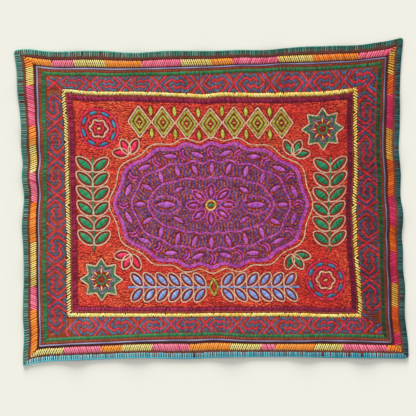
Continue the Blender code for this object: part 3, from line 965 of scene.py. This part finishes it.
def ring_piece(name, yarn, band, ridge, pitch):
    """A twisted yarn that runs all round the cloth: an oval section with ridges that wind round it."""
    step, middle, half_height = 1.3, 0.3, 0.42
    sides = 8
    angle = np.arange(sides) * 2 * math.pi / sides
    rings = []
    for side in SIDES:
        half = half_length(side)
        reach = half - sum(band) / 2
        along = np.linspace(-reach, reach, int(2 * reach / step), endpoint=False)[:, None]
        if side[0] in ("right", "bottom"):
            along = -along
        radius = 1 + ridge * np.cos(2 * math.pi * along / pitch + angle)
        inset = sum(band) / 2 - (band[1] - band[0]) / 2 * radius * np.sin(angle)
        place = np.clip(along, inset - half, half - inset)
        h = middle + half_height * radius * np.cos(angle)
        rings.append(raised(side_place(side, place, inset), h))
    ring = np.concatenate(rings)
    stops = len(ring)
    here = np.arange(stops)[:, None] * sides + np.arange(sides)
    beside = np.arange(stops)[:, None] * sides + (np.arange(sides) + 1) % sides
    a, b = here.ravel(), np.roll(here, -1, axis=0).ravel()
    c, d = np.roll(beside, -1, axis=0).ravel(), beside.ravel()
    faces = np.concatenate((np.stack((a, c, b), -1), np.stack((a, d, c), -1)))
    run = np.repeat(np.arange(stops) * step, sides)
    uv = np.stack((run, np.tile(angle, stops)), axis=-1)
    # Tone drifts slowly along the yarn; the term at the twist's pitch makes the plies lighter and darker by
    # turns, as painted light and shade.
    tone = 0.4 + 0.15 * np.sin(run / 9.0) + 0.35 * np.cos(2 * math.pi * run / pitch + uv[:, 1])
    return mesh_piece(name, laid(ring.reshape(-1, 3)), faces, yarn_material(yarn), uv, tone)


def cloth_material():
    """Plain-woven cotton, dyed by band: colours step with the distance from the rim, read off the UVs.

    Distances are in tenths of a metre, because the ramp runs from 0 to 1.
    """
    material, tree, shader = new_material("woven_cotton", 0.88, 0.2, 0.1)
    place = add_node(tree, "ShaderNodeTexCoord").outputs
    split = add_node(tree, "ShaderNodeSeparateXYZ", place["UV"])
    insets = []
    for axis, half in (("X", HALF_U), ("Y", HALF_V)):
        centred = add_node(tree, "ShaderNodeMath", split.outputs[axis], 0.5, operation="SUBTRACT")
        size = add_node(tree, "ShaderNodeMath", centred.outputs[0], operation="ABSOLUTE")
        inset = add_node(tree, "ShaderNodeMath", size.outputs[0], -2 * half / 100, half / 100,
                         operation="MULTIPLY_ADD")
        insets.append(inset.outputs[0])
    nearest = add_node(tree, "ShaderNodeMath", *insets, operation="MINIMUM")
    ramp = add_node(tree, "ShaderNodeValToRGB", nearest.outputs[0])
    ramp.color_ramp.interpolation = "CONSTANT"
    stops = [(0.0, (116, 60, 46)), (0.112, (76, 30, 22)), (0.28, (126, 54, 32)), (0.385, (150, 64, 36)),
             (0.65, (84, 30, 20)), (0.722, (140, 52, 30)), (0.745, (72, 8, 30)), (0.81, (140, 40, 28))]
    for index, (position, colour) in enumerate(stops):
        element = ramp.color_ramp.elements[index] if index < 2 else ramp.color_ramp.elements.new(position)
        element.position = position
        element.color = linear(colour)
    weave = [add_node(tree, "ShaderNodeTexWave", wave_type="BANDS", bands_direction=direction,
                      Vector=place["Object"], Scale=330.0, Distortion=0.6, Detail=1.0).outputs["Fac"]
             for direction in ("X", "Y")]
    cross = add_node(tree, "ShaderNodeMath", *weave, operation="MAXIMUM")
    flecks = add_node(tree, "ShaderNodeTexNoise", Vector=place["Object"], Scale=520.0, Detail=2.0)
    drift = add_node(tree, "ShaderNodeTexNoise", Vector=place["Object"], Scale=30.0, Detail=3.0)
    part = add_node(tree, "ShaderNodeMath", drift.outputs["Fac"], 0.9, operation="MULTIPLY")
    shade = add_node(tree, "ShaderNodeMath", flecks.outputs["Fac"], 0.9, part.outputs[0],
                     operation="MULTIPLY_ADD")
    tint = add_node(tree, "ShaderNodeMix", 1.0, data_type="RGBA", blend_type="MULTIPLY")
    feed(tree, tint.inputs[6], ramp.outputs["Color"])
    feed(tree, tint.inputs[7], shade.outputs[0])
    finish_shader(tree, shader, tint.outputs[2], cross.outputs[0], 0.5, 0.0004)
    return material


def ground_cloth():
    """The sheet: a grid over the true rectangle at two heights, closed by a wall round its edge."""
    columns, rows = 132, 108
    u = np.linspace(-HALF_U + CLOTH_EDGE, HALF_U - CLOTH_EDGE, columns)
    v = np.linspace(-HALF_V + CLOTH_EDGE, HALF_V - CLOTH_EDGE, rows)
    u, v = np.meshgrid(u, v)
    flat = np.stack((u, v), axis=-1).reshape(-1, 2)
    points = np.concatenate((raised(flat, 0.0), raised(flat, -SHEET)))
    index = np.arange(rows * columns).reshape(rows, columns)
    a, b, c, d = index[:-1, :-1], index[:-1, 1:], index[1:, 1:], index[1:, :-1]
    face = np.stack((a, b, c, d), axis=-1).reshape(-1, 4)
    edge = np.concatenate((index[0, :-1], index[:-1, -1], index[-1, :0:-1], index[:0:-1, 0]))
    after = np.roll(edge, -1)
    count = rows * columns
    wall = np.stack((edge + count, after + count, after, edge), axis=-1)
    faces = np.concatenate((face, face[:, ::-1] + count, wall))
    uv = flat / (2 * HALF_U, 2 * HALF_V) + 0.5
    return mesh_piece("cloth", laid(points), faces, cloth_material(), np.concatenate((uv, uv)))


def studio():
    """Pale floor, soft light from the upper left, and the camera straight above."""
    bpy.ops.mesh.primitive_plane_add(size=6.0, location=(0, 0, -0.0004))
    floor = bpy.context.object
    floor.name = "floor"
    paper, _, shader = new_material("pale_floor", 0.9, 0.1)
    shader.inputs["Base Color"].default_value = linear((240, 238, 227))
    floor.data.materials.append(paper)

    world = bpy.data.worlds.new("studio")
    bpy.context.scene.world = world
    world.use_nodes = True
    sky = world.node_tree.nodes["Background"].inputs
    sky["Color"].default_value = (1.0, 1.0, 1.0, 1.0)
    sky["Strength"].default_value = 0.62

    lamp = bpy.data.lights.new("key", "SUN")
    lamp.energy = 4.05
    lamp.angle = math.radians(26)
    light = bpy.data.objects.new("key", lamp)
    light.rotation_euler = (math.radians(-72), 0, math.radians(4))
    bpy.context.scene.collection.objects.link(light)

    camera = bpy.data.cameras.new("camera")
    camera.sensor_width = 36.0
    camera.lens = camera.sensor_width * (VIEW_HEIGHT - SHEET) / VIEW_WIDTH
    eye = bpy.data.objects.new("camera", camera)
    eye.location = (*(np.array(VIEW_MIDDLE) + SHIFT) * MM, VIEW_HEIGHT * MM)
    bpy.context.scene.collection.objects.link(eye)
    bpy.context.scene.camera = eye
    bpy.context.scene.view_settings.view_transform = "Standard"
    return floor


floor = studio()
cloth = ground_cloth()
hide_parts("ground_cloth")

border_bands()
kene_band()
field()

sewn = [ring_piece("lavender_ring", "lavender", LAVENDER, 0.24, 3.6)]
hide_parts("lavender_yarn")
for yarn in sorted(work.parts):
    piece = work.make(yarn, yarn + "_stitches")
    if yarn.startswith("edging_"):
        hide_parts(yarn)
    elif yarn == "braid":
        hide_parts("yellow_braid")
    sewn.append(piece)
